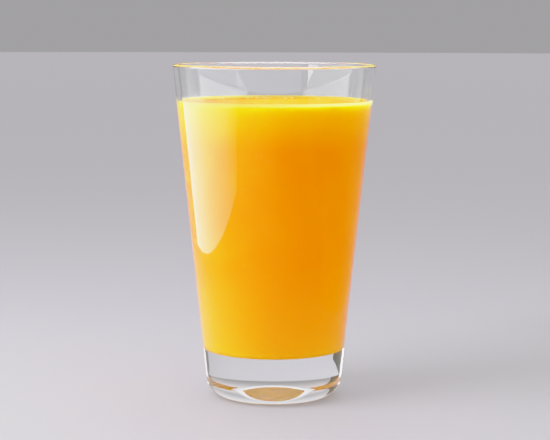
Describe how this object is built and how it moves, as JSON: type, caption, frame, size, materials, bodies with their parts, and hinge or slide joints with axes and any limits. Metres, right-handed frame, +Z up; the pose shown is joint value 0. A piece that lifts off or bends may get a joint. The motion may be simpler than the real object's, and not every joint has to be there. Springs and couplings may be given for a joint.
{
  "type": "glass of orange juice",
  "caption": "Tapered, heavy-based clear tumbler filled with orange juice to just below its rounded rim.",
  "frame": {"origin": "centre of the foot, on the surface that the glass stands on", "axes": "+Z up along the glass's axis; the glass is round, so +X and +Y are free"},
  "size_m": [0.089, 0.089, 0.147],
  "materials": {
    "glass": "clear, fire-polished",
    "juice": "cloudy orange liquid, wet"
  },
  "bodies": {
    "root": {"glass": "glass", "juice": "juice"}
  },
  "joints": []
}
